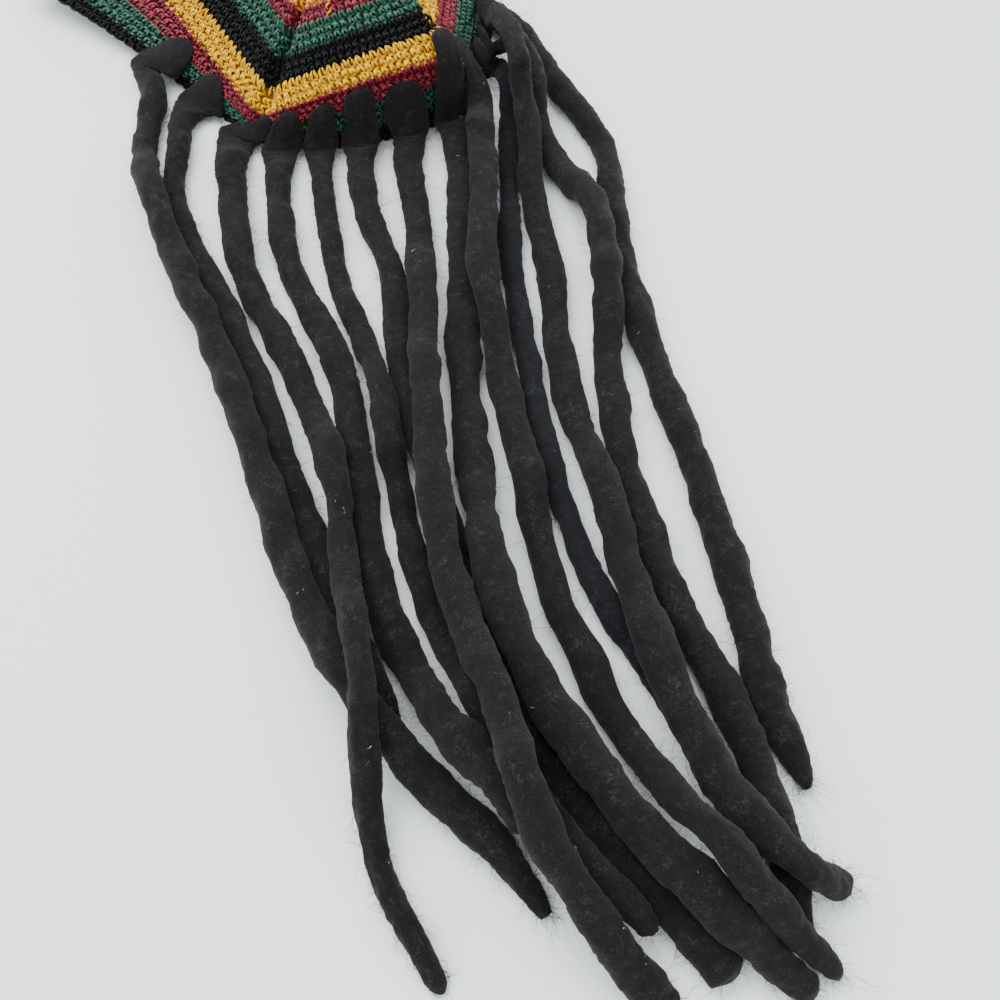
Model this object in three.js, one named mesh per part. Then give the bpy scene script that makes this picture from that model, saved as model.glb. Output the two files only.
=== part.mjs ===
// A crocheted tam with felted wool locks hanging from its rim, laid crown-up on a table.
// Millimetres, +Z up, the table at z = 0, the locks spread towards -Y.

import * as THREE from 'three';

// Driving dimensions of the crown
const crownReach = 100;
const crownHeight = 72;
const crownWall = 3.5;
const crownRounds = 28;
const kneeRound = 20;
const rimRounds = 2;
const rimThickness = 4.5;
const rimArch = 16;
const valleyDepth = 6.5;
const pleatLip = 4;
const pleatSink = 6;

// Driving dimensions of the locks
const fanLength = 400;
const fanBreadth = 300;
const lockDiameter = 13;
const tongueWidth = 16;
const tongueThickness = 7;
const tongueRounds = 6;
const tipTaper = 26;
const lumpShare = 0.06;
const lumpTurns = 0.2;
const footRise = 5.6;
const tongueBlend = 2.2;
const tipShare = 0.12;

// Clearance between pieces that touch in the real object
const gap = 0.3;
const tongueRise = 0.4;
const lockGap = 1.2;

// Fineness of the facets
const sideSteps = 11;
const roundsPerRing = 2;
const lockRings = 30;
const lockSides = 8;
const sampleShare = 0.0625;
const settlePasses = 60;
const settleSag = 2.5;
const settleFinish = 0.15;
const ownStretch = 0.2;
const ringCrowding = 1.15;
const poleReach = 1;

// The crown's six corners, counter-clockwise from the front one.
// Across and back are shares of crownReach from the crown's middle, rise is a share of crownHeight.
const corners = [
  { kneeAcross: -0.35, kneeBack: -0.80, kneeRise: 0.20, rimAcross: -0.36, rimBack: -0.81 },
  { kneeAcross: 0.64, kneeBack: -0.64, kneeRise: 0.57, rimAcross: 0.73, rimBack: -0.52 },
  { kneeAcross: 0.61, kneeBack: 0.28, kneeRise: 0.52, rimAcross: 0.79, rimBack: 0.42 },
  { kneeAcross: 0.11, kneeBack: 0.74, kneeRise: 0.50, rimAcross: 0.03, rimBack: 0.90 },
  { kneeAcross: -0.67, kneeBack: 0.68, kneeRise: 0.50, rimAcross: -0.92, rimBack: 0.80 },
  { kneeAcross: -1.02, kneeBack: 0.12, kneeRise: 0.44, rimAcross: -1.73, rimBack: 0.26 },
];

// The side that follows each corner: how far it bows out (of crownReach) and up (of crownHeight).
const sides = [
  { kneeBow: 0.09, rimBow: 0.13, kneeLift: 0.13 },
  { kneeBow: 0.02, rimBow: 0.02, kneeLift: 0.00 },
  { kneeBow: 0.05, rimBow: 0.05, kneeLift: 0.03 },
  { kneeBow: 0.05, rimBow: 0.05, kneeLift: 0.03 },
  { kneeBow: 0.05, rimBow: 0.04, kneeLift: 0.03 },
  { kneeBow: -0.01, rimBow: -0.06, kneeLift: 0.00 },
];

// The top of the crown, and where its folds lie, counted in sides from the front corner
const apexAcross = 0.05;
const apexBack = -0.16;
const domeSoftness = 1.16;
const cornerSoftness = 0.06;
const kneeSoftness = 0.06;
const archPlace = 4.9;
const archSides = 1.0;
const valleyPlace = 0;
const valleySides = 0.05;
const pleatPlace = 1;
const pleatLipSides = 0.16;
const pleatSinkSides = 0.30;
const foldEnd = 0.9;
const foldFade = 0.7;

// The locks, lowest first. place counts sides along the rim and lean the sides from there to the top
// of the tongue, girth is a share of lockDiameter at the rim and at the tip, tongue is a share of
// tongueWidth. lanes are shares of fanBreadth across from the front corner at the stations below,
// which are shares of fanLength, and tip is [share across, share of fanLength].
const stations = [-0.08, 0.02, 0.11, 0.22, 0.35, 0.48, 0.61, 0.74, 0.87];
const locks = [
  { name: 'lock_13', place: 1.62, lean: 0.12, girth: [0.90, 1.10], tongue: 0.85,
    lanes: [0.500, 0.565, 0.573, 0.586, 0.622, 0.665, 0.700, 0.732, null], tip: [0.763, 0.805] },
  { name: 'lock_10', place: 1.17, lean: 0.12, girth: [0.75, 0.86], tongue: 0.55,
    lanes: [0.410, 0.412, 0.411, 0.417, 0.440, 0.469, 0.523, 0.617, null], tip: [0.697, 0.858] },
  { name: 'lock_06', place: 0.43, lean: 0.07, girth: [0.93, 1.21], tongue: 1.05,
    lanes: [null, null, 0.185, 0.233, 0.257, 0.303, 0.350, 0.418, 0.542], tip: [0.655, 0.964] },
  { name: 'lock_02', place: 5.75, lean: -0.05, girth: [0.86, 1.00], tongue: 1.10,
    lanes: [null, -0.124, -0.113, -0.045, 0.042, 0.108, 0.179, null, null], tip: [0.273, 0.768] },
  { name: 'lock_01', place: 5.54, lean: -0.07, girth: [0.96, 1.07], tongue: 0.95,
    lanes: [-0.182, -0.176, -0.142, -0.081, 0.001, 0.071, 0.137, 0.237, 0.406], tip: [0.450, 0.914] },
  { name: 'lock_05', place: 0.27, lean: 0.02, girth: [0.79, 0.93], tongue: 0.85,
    lanes: [null, null, 0.121, 0.152, 0.215, 0.255, 0.297, 0.374, 0.486], tip: [0.567, 0.931] },
  { name: 'lock_04', place: 0.11, lean: 0.00, girth: [0.93, 1.14], tongue: 0.95,
    lanes: [null, null, 0.050, 0.085, 0.167, 0.204, 0.238, 0.317, null], tip: [0.427, 0.850] },
  { name: 'lock_12', place: 1.30, lean: 0.12, girth: [1.00, 1.07], tongue: 0.70,
    lanes: [0.436, 0.470, 0.530, 0.554, 0.552, 0.570, 0.612, 0.681, 0.724], tip: [0.738, 0.935] },
  { name: 'lock_08', place: 0.83, lean: 0.07, girth: [1.07, 1.25], tongue: 1.10,
    lanes: [null, 0.329, 0.337, 0.340, 0.345, 0.363, 0.387, 0.454, 0.576], tip: [0.740, 0.978] },
  { name: 'lock_07', place: 0.64, lean: 0.11, girth: [0.97, 1.10], tongue: 1.10,
    lanes: [null, 0.247, 0.263, 0.279, 0.290, 0.305, 0.332, 0.390, 0.448], tip: [0.583, 0.996] },
  { name: 'lock_11', place: 1.45, lean: 0.12, girth: [0.82, 1.14], tongue: 0.70,
    lanes: [0.422, 0.440, 0.450, 0.473, 0.484, 0.526, 0.562, 0.611, 0.702], tip: [0.790, 0.892] },
  { name: 'lock_09', place: 1.03, lean: 0.06, girth: [1.10, 0.93], tongue: 0.75,
    lanes: [null, 0.367, 0.372, 0.372, 0.396, 0.430, 0.465, 0.536, 0.635], tip: [0.770, 0.963] },
  { name: 'lock_03', place: 5.95, lean: -0.02, girth: [1.14, 0.71], tongue: 1.10,
    lanes: [null, null, -0.022, 0.015, 0.101, 0.169, 0.203, 0.236, 0.256], tip: [0.335, 0.975] },
];

const wrap = (place) => ((place % corners.length) + corners.length) % corners.length;

// Signed distance in sides from one place round the crown to another, the short way
function sidesFrom(place, target) {
  const half = corners.length / 2;
  return wrap(place - target + half) - half;
}

// A point of the knee ring or of the rim ring, before its corners are softened
function sharpRing(ring, place) {
  const index = Math.floor(wrap(place));
  const along = wrap(place) - index;
  const from = corners[index];
  const to = corners[(index + 1) % corners.length];
  const side = sides[index];
  const start = new THREE.Vector2(from[ring + 'Across'], from[ring + 'Back']);
  const end = new THREE.Vector2(to[ring + 'Across'], to[ring + 'Back']);
  const heading = end.clone().sub(start).normalize();
  const bow = side[ring + 'Bow'] * 4 * along * (1 - along);
  const point = start.lerp(end, along);
  point.x += heading.y * bow;
  point.y -= heading.x * bow;
  return point.multiplyScalar(crownReach);
}

// The same point with soft corners: the mean over a short stretch to either side
function ringPoint(ring, place) {
  const before = sharpRing(ring, place - cornerSoftness);
  const after = sharpRing(ring, place + cornerSoftness);
  return sharpRing(ring, place).multiplyScalar(2).add(before).add(after).divideScalar(4);
}

function kneeHeight(place) {
  const index = Math.floor(wrap(place));
  const along = wrap(place) - index;
  const rise = THREE.MathUtils.lerp(
    corners[index].kneeRise,
    corners[(index + 1) % corners.length].kneeRise,
    along,
  );
  return crownHeight * (rise + sides[index].kneeLift * 4 * along * (1 - along));
}

// How far the rim arches off the table
function rimLift(place) {
  const share = Math.min(Math.abs(sidesFrom(place, archPlace)) / archSides, 1);
  return rimArch * Math.cos(share * Math.PI / 2) ** 2;
}

// The crown's fabric before folds: a low dome from the top to the knee, then the side to the rim.
// depth runs from 0 at the top to 1 at the rim.
function sharpCrown(place, depth) {
  const kneeDepth = kneeRound / crownRounds;
  const knee = ringPoint('knee', place);
  const kneeZ = kneeHeight(place);
  if (depth < kneeDepth) {
    const share = depth / kneeDepth;
    const plan = new THREE.Vector2(apexAcross, apexBack).multiplyScalar(crownReach).lerp(knee, share);
    return new THREE.Vector3(plan.x, plan.y, crownHeight - (crownHeight - kneeZ) * share ** domeSoftness);
  }
  const share = (depth - kneeDepth) / (1 - kneeDepth);
  const plan = knee.lerp(ringPoint('rim', place), share);
  return new THREE.Vector3(plan.x, plan.y, THREE.MathUtils.lerp(kneeZ, rimLift(place), share));
}

function smoothCrown(place, depth) {
  const reach = Math.min(kneeSoftness, depth, 1 - depth);
  const before = sharpCrown(place, depth - reach);
  const after = sharpCrown(place, depth + reach);
  return sharpCrown(place, depth).multiplyScalar(2).add(before).add(after).divideScalar(4);
}

// Unit vectors of the smooth crown: out of the fabric, down it and round it
function crownFrame(place, depth) {
  const step = 0.01;
  const inner = Math.max(depth - step, step);
  const outer = Math.min(depth + step, 1);
  const down = smoothCrown(place, outer).sub(smoothCrown(place, inner)).normalize();
  const ringDepth = Math.max(depth, step);
  const round = smoothCrown(place + step, ringDepth).sub(smoothCrown(place - step, ringDepth)).normalize();
  return { out: down.clone().cross(round).normalize(), down, round };
}

// Folds: a valley at the front corner, and a pleat whose lip stands over the panel to its right
function foldHeight(place, depth) {
  const fade = Math.sin(Math.PI * Math.min(depth / foldEnd, 1)) ** foldFade;
  const fromValley = sidesFrom(place, valleyPlace) / valleySides;
  const fromPleat = sidesFrom(place, pleatPlace);
  const valley = -valleyDepth * Math.exp(-fromValley * fromValley);
  const lip = fromPleat < 0 ? pleatLip * Math.exp(fromPleat / pleatLipSides) : 0;
  const sink = fromPleat >= 0 ? -pleatSink * Math.exp(-fromPleat / pleatSinkSides) : 0;
  return (valley + lip + sink) * fade;
}

// A point of the fabric's outer face, raised by a height above it
function crownPoint(place, depth, height = 0) {
  const rise = foldHeight(place, depth) + height;
  return smoothCrown(place, depth).addScaledVector(crownFrame(place, depth).out, rise);
}

// A closed mesh from a list of closed rings of points, each end shut by its own middle point
function ringSolid(rings, firstPole, lastPole) {
  const count = rings[0].length;
  const points = [firstPole, ...rings.flat(), lastPole];
  const last = points.length - 1;
  const triangles = [];
  for (let k = 0; k < count; k += 1) {
    const next = (k + 1) % count;
    triangles.push(0, 1 + k, 1 + next);
    const base = 1 + (rings.length - 1) * count;
    triangles.push(last, base + next, base + k);
    for (let ring = 0; ring < rings.length - 1; ring += 1) {
      const near = 1 + ring * count;
      const far = near + count;
      triangles.push(near + k, far + k, far + next, near + k, far + next, near + next);
    }
  }
  const geometry = new THREE.BufferGeometry().setFromPoints(points);
  geometry.setIndex(triangles);
  geometry.computeVertexNormals();
  return geometry;
}

function meshOf(name, geometry, material) {
  const mesh = new THREE.Mesh(geometry, material);
  mesh.name = name;
  return mesh;
}

const crochet = new THREE.MeshStandardMaterial({ color: 0x1d6a4c, roughness: 0.75, metalness: 0 });
const blackYarn = new THREE.MeshStandardMaterial({ color: 0x201f1e, roughness: 0.8, metalness: 0 });
const feltedWool = new THREE.MeshStandardMaterial({ color: 0x2b2629, roughness: 0.95, metalness: 0 });

const columns = corners.length * sideSteps;
const placeOf = (column) => column / sideSteps;
const edgeDepth = 1 - rimRounds / crownRounds;

// The crown: one hollow shell of fabric, open at the bottom
function makeCrown() {
  const ringDepths = [];
  for (let round = roundsPerRing; round / crownRounds <= edgeDepth; round += roundsPerRing) {
    ringDepths.push(round / crownRounds);
  }
  const ringAt = (depth, height) => Array.from(
    { length: columns },
    (_, column) => crownPoint(placeOf(column), depth, height),
  );
  const outer = ringDepths.map((depth) => ringAt(depth, 0));
  const inner = ringDepths.map((depth) => ringAt(depth, -crownWall)).reverse();
  const top = new THREE.Vector3(apexAcross * crownReach, apexBack * crownReach, crownHeight);
  const ceiling = top.clone().setZ(crownHeight - crownWall);
  return meshOf('crown', ringSolid([...outer, ...inner], top, ceiling), crochet);
}

// The rim band: the last rounds, worked double, with a flat foot
function makeRimBand() {
  const proud = (rimThickness - crownWall) / 2;
  const rings = Array.from({ length: columns }, (_, column) => {
    const place = placeOf(column);
    const { down, out } = crownFrame(place, edgeDepth);
    const flatOut = new THREE.Vector3(out.x, out.y, 0).normalize();
    const outerTop = crownPoint(place, edgeDepth, proud).addScaledVector(down, gap);
    const innerTop = crownPoint(place, edgeDepth, proud - rimThickness).addScaledVector(down, gap);
    const outerFoot = smoothCrown(place, 1).addScaledVector(flatOut, proud);
    const innerFoot = outerFoot.clone().addScaledVector(flatOut, -rimThickness);
    return [outerTop, innerTop, innerFoot, outerFoot];
  });
  const count = rings[0].length;
  const triangles = [];
  rings.forEach((_, column) => {
    const near = column * count;
    const far = ((column + 1) % columns) * count;
    for (let k = 0; k < count; k += 1) {
      const next = (k + 1) % count;
      triangles.push(near + k, far + next, near + next, near + k, far + k, far + next);
    }
  });
  const geometry = new THREE.BufferGeometry().setFromPoints(rings.flat());
  geometry.setIndex(triangles);
  geometry.computeVertexNormals();
  return meshOf('rim_band', geometry, blackYarn);
}

// Half width and half thickness of a lock at a distance from its upper end
function lockGirth(lock, distance, length) {
  const tongueLength = crownHeight * tongueRounds / crownRounds;
  const turn = THREE.MathUtils.smoothstep(distance, tongueLength, tongueBlend * tongueLength);
  const radius = lockDiameter / 2 * THREE.MathUtils.lerp(lock.girth[0], lock.girth[1], distance / length);
  const lumpAngle = (distance / lockDiameter * lumpTurns + lock.place) * Math.PI * 2;
  const lumps = 1 + lumpShare * Math.sin(lumpAngle) * turn;
  const halfTongue = tongueWidth / 2 * lock.tongue;
  const roundTop = Math.sqrt(1 - (1 - Math.min((distance + poleReach) / halfTongue, 1)) ** 2);
  const left = (length - distance) / tipTaper;
  const taper = Math.sqrt(Math.min(Math.max(left, tipShare), 1));
  return {
    halfWidth: THREE.MathUtils.lerp(halfTongue, radius * lumps, turn) * roundTop * taper,
    halfThickness: THREE.MathUtils.lerp(tongueThickness / 2, radius * lumps, turn) * roundTop * taper,
  };
}

// The plan of a lock: up its tongue on the crown, round the rim and down the fan
function lockCurve(lock) {
  const front = new THREE.Vector3(corners[0].rimAcross, corners[0].rimBack, 0).multiplyScalar(crownReach);
  const onFabric = tongueRise + tongueThickness / 2;
  const tongueTop = 1 - tongueRounds / crownRounds;
  const top = crownPoint(lock.place + lock.lean, tongueTop, onFabric);
  const middle = crownPoint(lock.place + lock.lean / 2, (tongueTop + 1) / 2, onFabric);
  const { out } = crownFrame(lock.place, 1);
  const flatOut = new THREE.Vector3(out.x, out.y, 0).normalize();
  const foot = smoothCrown(lock.place, 1).addScaledVector(flatOut, onFabric + tongueThickness / 2);
  foot.z += footRise;
  const points = [top, middle, foot];
  lock.lanes.forEach((lane, index) => {
    if (lane !== null) {
      points.push(new THREE.Vector3(
        front.x + lane * fanBreadth,
        front.y - stations[index] * fanLength,
        lockDiameter / 2,
      ));
    }
  });
  const [across, along] = lock.tip;
  points.push(new THREE.Vector3(front.x + across * fanBreadth, front.y - along * fanLength, lockDiameter / 4));
  return new THREE.CatmullRomCurve3(points, false, 'centripetal');
}

// A lock's rings of points before it is settled: centre, size and the directions of its section
function lockSpine(lock) {
  const curve = lockCurve(lock);
  curve.arcLengthDivisions = 600;
  const length = curve.getLength();
  const { round } = crownFrame(lock.place, 1);
  const tongueLength = crownHeight * tongueRounds / crownRounds;
  const spine = [];
  for (let ring = 0; ring < lockRings; ring += 1) {
    const share = (ring / (lockRings - 1)) ** ringCrowding;
    const distance = share * length;
    const centre = curve.getPointAt(share);
    const held = distance < tongueLength;
    const turn = THREE.MathUtils.smoothstep(distance, tongueLength, tongueBlend * tongueLength);
    spine.push({ centre, held, round, turn, ...lockGirth(lock, distance, length) });
  }
  return spine;
}

// The height that a section needs to clear a point of something below it. heading is the section's
// way across the table, and reach along it only counts the lower piece's own breadth.
function heightOver(point, heading, halfWidth, halfThickness, below) {
  const offX = below.centre.x - point.x;
  const offY = below.centre.y - point.y;
  const along = (offX * heading.x + offY * heading.y) / (below.halfWidth + lockGap);
  const across = (offX * heading.y - offY * heading.x) / (halfWidth + below.halfWidth + lockGap);
  const left = 1 - along * along - across * across;
  if (left <= 0) {
    return -Infinity;
  }
  return below.centre.z + (halfThickness + below.halfThickness + lockGap) * Math.sqrt(left);
}

// The section at a share of the way from one ring of a lock to the next
function sectionBetween(from, to, share) {
  return {
    centre: from.centre.clone().lerp(to.centre, share),
    halfWidth: THREE.MathUtils.lerp(from.halfWidth, to.halfWidth, share),
    halfThickness: THREE.MathUtils.lerp(from.halfThickness, to.halfThickness, share),
  };
}

// Sections close together along a lock, as obstacles for the locks above it. A tongue is flat, so each
// of its sections counts as a row of narrow ones.
function obstaclesOf(spine, heldOnly) {
  const found = [];
  for (let ring = 0; ring < spine.length - 1; ring += 1) {
    const { held, round } = spine[ring];
    for (let share = 0; share < 1 && (held || !heldOnly); share += sampleShare) {
      const section = sectionBetween(spine[ring], spine[ring + 1], share);
      const spare = held ? section.halfWidth - section.halfThickness : 0;
      const offsets = held ? [-spare, -spare / 2, 0, spare / 2, spare] : [0];
      offsets.forEach((offset) => {
        const centre = section.centre.clone().addScaledVector(round, offset);
        found.push({ ...section, centre, halfWidth: section.halfWidth - spare });
      });
    }
  }
  return found;
}

// Whether a stretch between two rings clears the obstacles near it
function isClear({ from, to, near }) {
  const heading = new THREE.Vector2(to.centre.x - from.centre.x, to.centre.y - from.centre.y).normalize();
  for (let share = 0; share <= 1; share += sampleShare) {
    const { centre, halfWidth, halfThickness } = sectionBetween(from, to, share);
    if (near.some((below) => heightOver(centre, heading, halfWidth, halfThickness, below) > centre.z)) {
      return false;
    }
  }
  return true;
}

// Lets a lock's free rings down from above the crown, as far as the obstacles and its stiffness allow
function settle(spine, obstacles) {
  const free = spine.findIndex(({ held }) => !held);
  const least = spine.map(({ halfThickness }) => halfThickness);
  const stretches = spine.slice(0, -1).map((from, ring) => {
    const to = spine[ring + 1];
    const middle = from.centre.clone().lerp(to.centre, 0.5);
    const reach = from.centre.distanceTo(middle) + 2 * lockDiameter;
    const isNear = ({ centre }) => Math.hypot(centre.x - middle.x, centre.y - middle.y) < reach;
    return { from, to, near: ring < free ? [] : obstacles.filter(isNear) };
  });
  spine.slice(free).forEach(({ centre }) => {
    centre.z = crownHeight;
  });
  for (let step = crownHeight / 2; step > settleFinish; step /= 2) {
    for (let pass = 0; pass < settlePasses; pass += 1) {
      for (let ring = free; ring < spine.length; ring += 1) {
        const { centre } = spine[ring];
        const mean = ring + 1 < spine.length ? (spine[ring - 1].centre.z + spine[ring + 1].centre.z) / 2 : 0;
        const was = centre.z;
        centre.z -= step;
        const touching = [stretches[ring - 1], stretches[ring]].filter(Boolean);
        if (centre.z < least[ring] || centre.z < mean - settleSag || !touching.every(isClear)) {
          centre.z = was;
        }
      }
    }
  }
}

// A lock's solid from its settled spine
function lockSolid(spine) {
  const rings = spine.map(({ centre, halfWidth, halfThickness, round, turn }, ring) => {
    const before = spine[Math.max(ring - 1, 0)].centre;
    const after = spine[Math.min(ring + 1, spine.length - 1)].centre;
    const along = after.clone().sub(before).normalize();
    const level = new THREE.Vector3(0, 0, 1).cross(along).normalize();
    const wide = round.clone().lerp(level, turn);
    wide.addScaledVector(along, -wide.dot(along)).normalize();
    const thin = wide.clone().cross(along).normalize();
    return Array.from({ length: lockSides }, (_, side) => {
      const angle = side / lockSides * Math.PI * 2;
      return centre.clone()
        .addScaledVector(wide, Math.cos(angle) * halfWidth)
        .addScaledVector(thin, Math.sin(angle) * halfThickness);
    });
  });
  const first = spine[0].centre;
  const last = spine[spine.length - 1].centre;
  const upward = first.clone().sub(spine[1].centre).normalize();
  const onward = last.clone().sub(spine[spine.length - 2].centre).setZ(0).normalize();
  const firstPole = first.clone().addScaledVector(upward, poleReach);
  const lastPole = last.clone().addScaledVector(onward, poleReach);
  return ringSolid(rings, firstPole, lastPole);
}

// Points of the crown's outer face near the rim, as obstacles for locks that run over it
function crownObstacles() {
  const found = [];
  for (let column = 0; column < columns * 2; column += 1) {
    for (let round = kneeRound; round <= crownRounds; round += 0.5) {
      found.push({
        place: placeOf(column / 2),
        centre: crownPoint(placeOf(column / 2), round / crownRounds),
        halfWidth: rimThickness / 2,
        halfThickness: rimThickness / 2,
      });
    }
  }
  return found;
}

function makeLocks() {
  const spines = new Map(locks.map((lock) => [lock.name, lockSpine(lock)]));
  const crown = crownObstacles();
  const settled = [];
  return locks.map((lock) => {
    const spine = spines.get(lock.name);
    const besides = crown.filter(({ place }) => Math.abs(sidesFrom(place, lock.place)) > ownStretch);
    const tongues = locks
      .filter((other) => other !== lock)
      .flatMap((other) => obstaclesOf(spines.get(other.name), true));
    settle(spine, [...besides, ...settled, ...tongues]);
    settled.push(...obstaclesOf(spine, false));
    return meshOf(lock.name, lockSolid(spine), feltedWool);
  });
}

const tam = new THREE.Group();
tam.add(makeCrown(), makeRimBand(), ...makeLocks());
const box = new THREE.Box3().setFromObject(tam);
const middle = box.getCenter(new THREE.Vector3());
tam.position.set(-middle.x, -middle.y, -box.min.z);

export default tam;
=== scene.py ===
# A crocheted tam with felted wool locks, dressed for a close view.
# Lengths are in millimetres until they go into a mesh, which is in metres.

import math

import bpy
import numpy as np
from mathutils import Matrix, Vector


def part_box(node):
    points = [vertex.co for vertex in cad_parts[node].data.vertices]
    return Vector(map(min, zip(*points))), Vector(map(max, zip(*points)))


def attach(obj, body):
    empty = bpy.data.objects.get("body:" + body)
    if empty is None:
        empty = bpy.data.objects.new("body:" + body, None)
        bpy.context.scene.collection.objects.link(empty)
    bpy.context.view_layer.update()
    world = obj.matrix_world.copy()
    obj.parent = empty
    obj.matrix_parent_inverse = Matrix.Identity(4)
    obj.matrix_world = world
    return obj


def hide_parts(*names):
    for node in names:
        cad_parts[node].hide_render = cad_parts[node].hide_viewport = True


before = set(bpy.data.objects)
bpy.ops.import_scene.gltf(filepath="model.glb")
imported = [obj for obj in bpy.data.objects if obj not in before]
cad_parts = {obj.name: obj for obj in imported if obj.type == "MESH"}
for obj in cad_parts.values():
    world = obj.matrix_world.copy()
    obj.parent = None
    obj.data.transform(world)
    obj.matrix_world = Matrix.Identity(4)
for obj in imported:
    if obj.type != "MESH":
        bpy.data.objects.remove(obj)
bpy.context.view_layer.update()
print("frame loaded")


# Crown shape: corners hold knee across, knee back, knee rise, rim across and rim back
crownShape = {
    "reach": 100.0,
    "height": 72.0,
    "rounds": 28,
    "kneeRound": 20,
    "rimRounds": 2,
    "rimArch": 16.0,
    "valleyDepth": 6.5,
    "pleatLip": 4.0,
    "pleatSink": 6.0,
    "apexAcross": 0.05,
    "apexBack": -0.16,
    "domeSoftness": 1.16,
    "cornerSoftness": 0.06,
    "kneeSoftness": 0.06,
    "archPlace": 4.9,
    "archSides": 1.0,
    "valleySides": 0.05,
    "pleatPlace": 1.0,
    "pleatLipSides": 0.16,
    "pleatSinkSides": 0.30,
    "foldEnd": 0.9,
    "foldFade": 0.7,
}
crownCorners = np.array([
    [-0.35, -0.80, 0.20, -0.36, -0.81],
    [0.64, -0.64, 0.57, 0.73, -0.52],
    [0.61, 0.28, 0.52, 0.79, 0.42],
    [0.11, 0.74, 0.50, 0.03, 0.90],
    [-0.67, 0.68, 0.50, -0.92, 0.80],
    [-1.02, 0.12, 0.44, -1.73, 0.26],
])
# The side after each corner: knee bow, rim bow and knee lift
crownSides = np.array([
    [0.09, 0.13, 0.13],
    [0.02, 0.02, 0.00],
    [0.05, 0.05, 0.03],
    [0.05, 0.05, 0.03],
    [0.05, 0.04, 0.03],
    [-0.01, -0.06, 0.00],
])


def unit(vectors):
    # each vector divided by its own length
    return vectors / np.maximum(np.linalg.norm(vectors, axis=-1, keepdims=True), 1e-9)


def mix(start, end, share):
    # straight blend from start to end
    return start + (end - start) * share


def smoothStep(low, high, value):
    # 0 below low, 1 above high, and a smooth cubic between
    share = np.clip((value - low) / (high - low), 0, 1)
    return share * share * (3 - 2 * share)


def sidesFrom(place, target):
    # signed number of sides from one place round the crown to another, the short way
    return np.mod(place - target + 3, 6) - 3


def sharpRing(ring, place):
    # straight line between two corners, plus a parabola outward with its height at the middle
    turned = np.mod(place, 6)
    index = np.minimum(np.floor(turned).astype(int), 5)
    along = (turned - index)[..., None]
    columns = [0, 1] if ring == "knee" else [3, 4]
    start = crownCorners[index][..., columns]
    end = crownCorners[(index + 1) % 6][..., columns]
    heading = unit(end - start)
    bow = crownSides[index][..., 0 if ring == "knee" else 1][..., None] * 4 * along * (1 - along)
    outward = np.stack([heading[..., 1], -heading[..., 0]], axis=-1)
    return (mix(start, end, along) + outward * bow) * crownShape["reach"]


def ringPoint(ring, place):
    # mean of the point itself, counted twice, and one a little to each side
    step = crownShape["cornerSoftness"]
    return (2 * sharpRing(ring, place) + sharpRing(ring, place - step) + sharpRing(ring, place + step)) / 4


def kneeHeight(place):
    # straight blend of the corners' rises plus a parabola over each side
    turned = np.mod(place, 6)
    index = np.minimum(np.floor(turned).astype(int), 5)
    along = turned - index
    rise = mix(crownCorners[index][..., 2], crownCorners[(index + 1) % 6][..., 2], along)
    return crownShape["height"] * (rise + crownSides[index][..., 2] * 4 * along * (1 - along))


def rimLift(place):
    # squared cosine hump over the part of the rim that arches off the table
    share = np.minimum(np.abs(sidesFrom(place, crownShape["archPlace"])) / crownShape["archSides"], 1)
    return crownShape["rimArch"] * np.cos(share * np.pi / 2) ** 2


def sharpCrown(place, depth):
    # a power curve from the top down to the knee, then a straight wall to the rim
    kneeDepth = crownShape["kneeRound"] / crownShape["rounds"]
    knee = ringPoint("knee", place)
    kneeZ = kneeHeight(place)
    share = np.clip(depth / kneeDepth, 0, 1)
    apex = np.array([crownShape["apexAcross"], crownShape["apexBack"]]) * crownShape["reach"]
    planTop = mix(apex, knee, share[..., None])
    heightTop = crownShape["height"] - (crownShape["height"] - kneeZ) * share ** crownShape["domeSoftness"]
    wall = np.clip((depth - kneeDepth) / (1 - kneeDepth), 0, 1)
    planWall = mix(knee, ringPoint("rim", place), wall[..., None])
    heightWall = mix(kneeZ, rimLift(place), wall)
    above = depth < kneeDepth
    plan = np.where(above[..., None], planTop, planWall)
    height = np.where(above, heightTop, heightWall)
    return np.concatenate([plan, height[..., None]], axis=-1)


def smoothCrown(place, depth):
    # mean of the point, counted twice, and one a little above and below it on the fabric
    reach = np.minimum(np.minimum(crownShape["kneeSoftness"], depth), 1 - depth)
    return (2 * sharpCrown(place, depth) + sharpCrown(place, depth - reach) + sharpCrown(place, depth + reach)) / 4


def crownFrame(place, depth):
    # unit vectors out of the fabric, down it and round it, from small steps along it
    step = 0.01
    down = unit(
        smoothCrown(place, np.minimum(depth + step, 1)) - smoothCrown(place, np.maximum(depth - step, step))
    )
    ringDepth = np.maximum(depth, step)
    around = unit(smoothCrown(place + step, ringDepth) - smoothCrown(place - step, ringDepth))
    return unit(np.cross(down, around)), down, around


def foldHeight(place, depth):
    # a bell-shaped valley at the front corner, and a pleat with a lip before it and a sink after it
    fade = np.sin(np.pi * np.minimum(depth / crownShape["foldEnd"], 1)) ** crownShape["foldFade"]
    fromValley = sidesFrom(place, 0) / crownShape["valleySides"]
    fromPleat = sidesFrom(place, crownShape["pleatPlace"])
    valley = -crownShape["valleyDepth"] * np.exp(-fromValley * fromValley)
    lip = np.where(fromPleat < 0, crownShape["pleatLip"] * np.exp(fromPleat / crownShape["pleatLipSides"]), 0)
    sink = np.where(fromPleat >= 0, -crownShape["pleatSink"] * np.exp(-fromPleat / crownShape["pleatSinkSides"]), 0)
    return (valley + lip + sink) * fade


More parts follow.
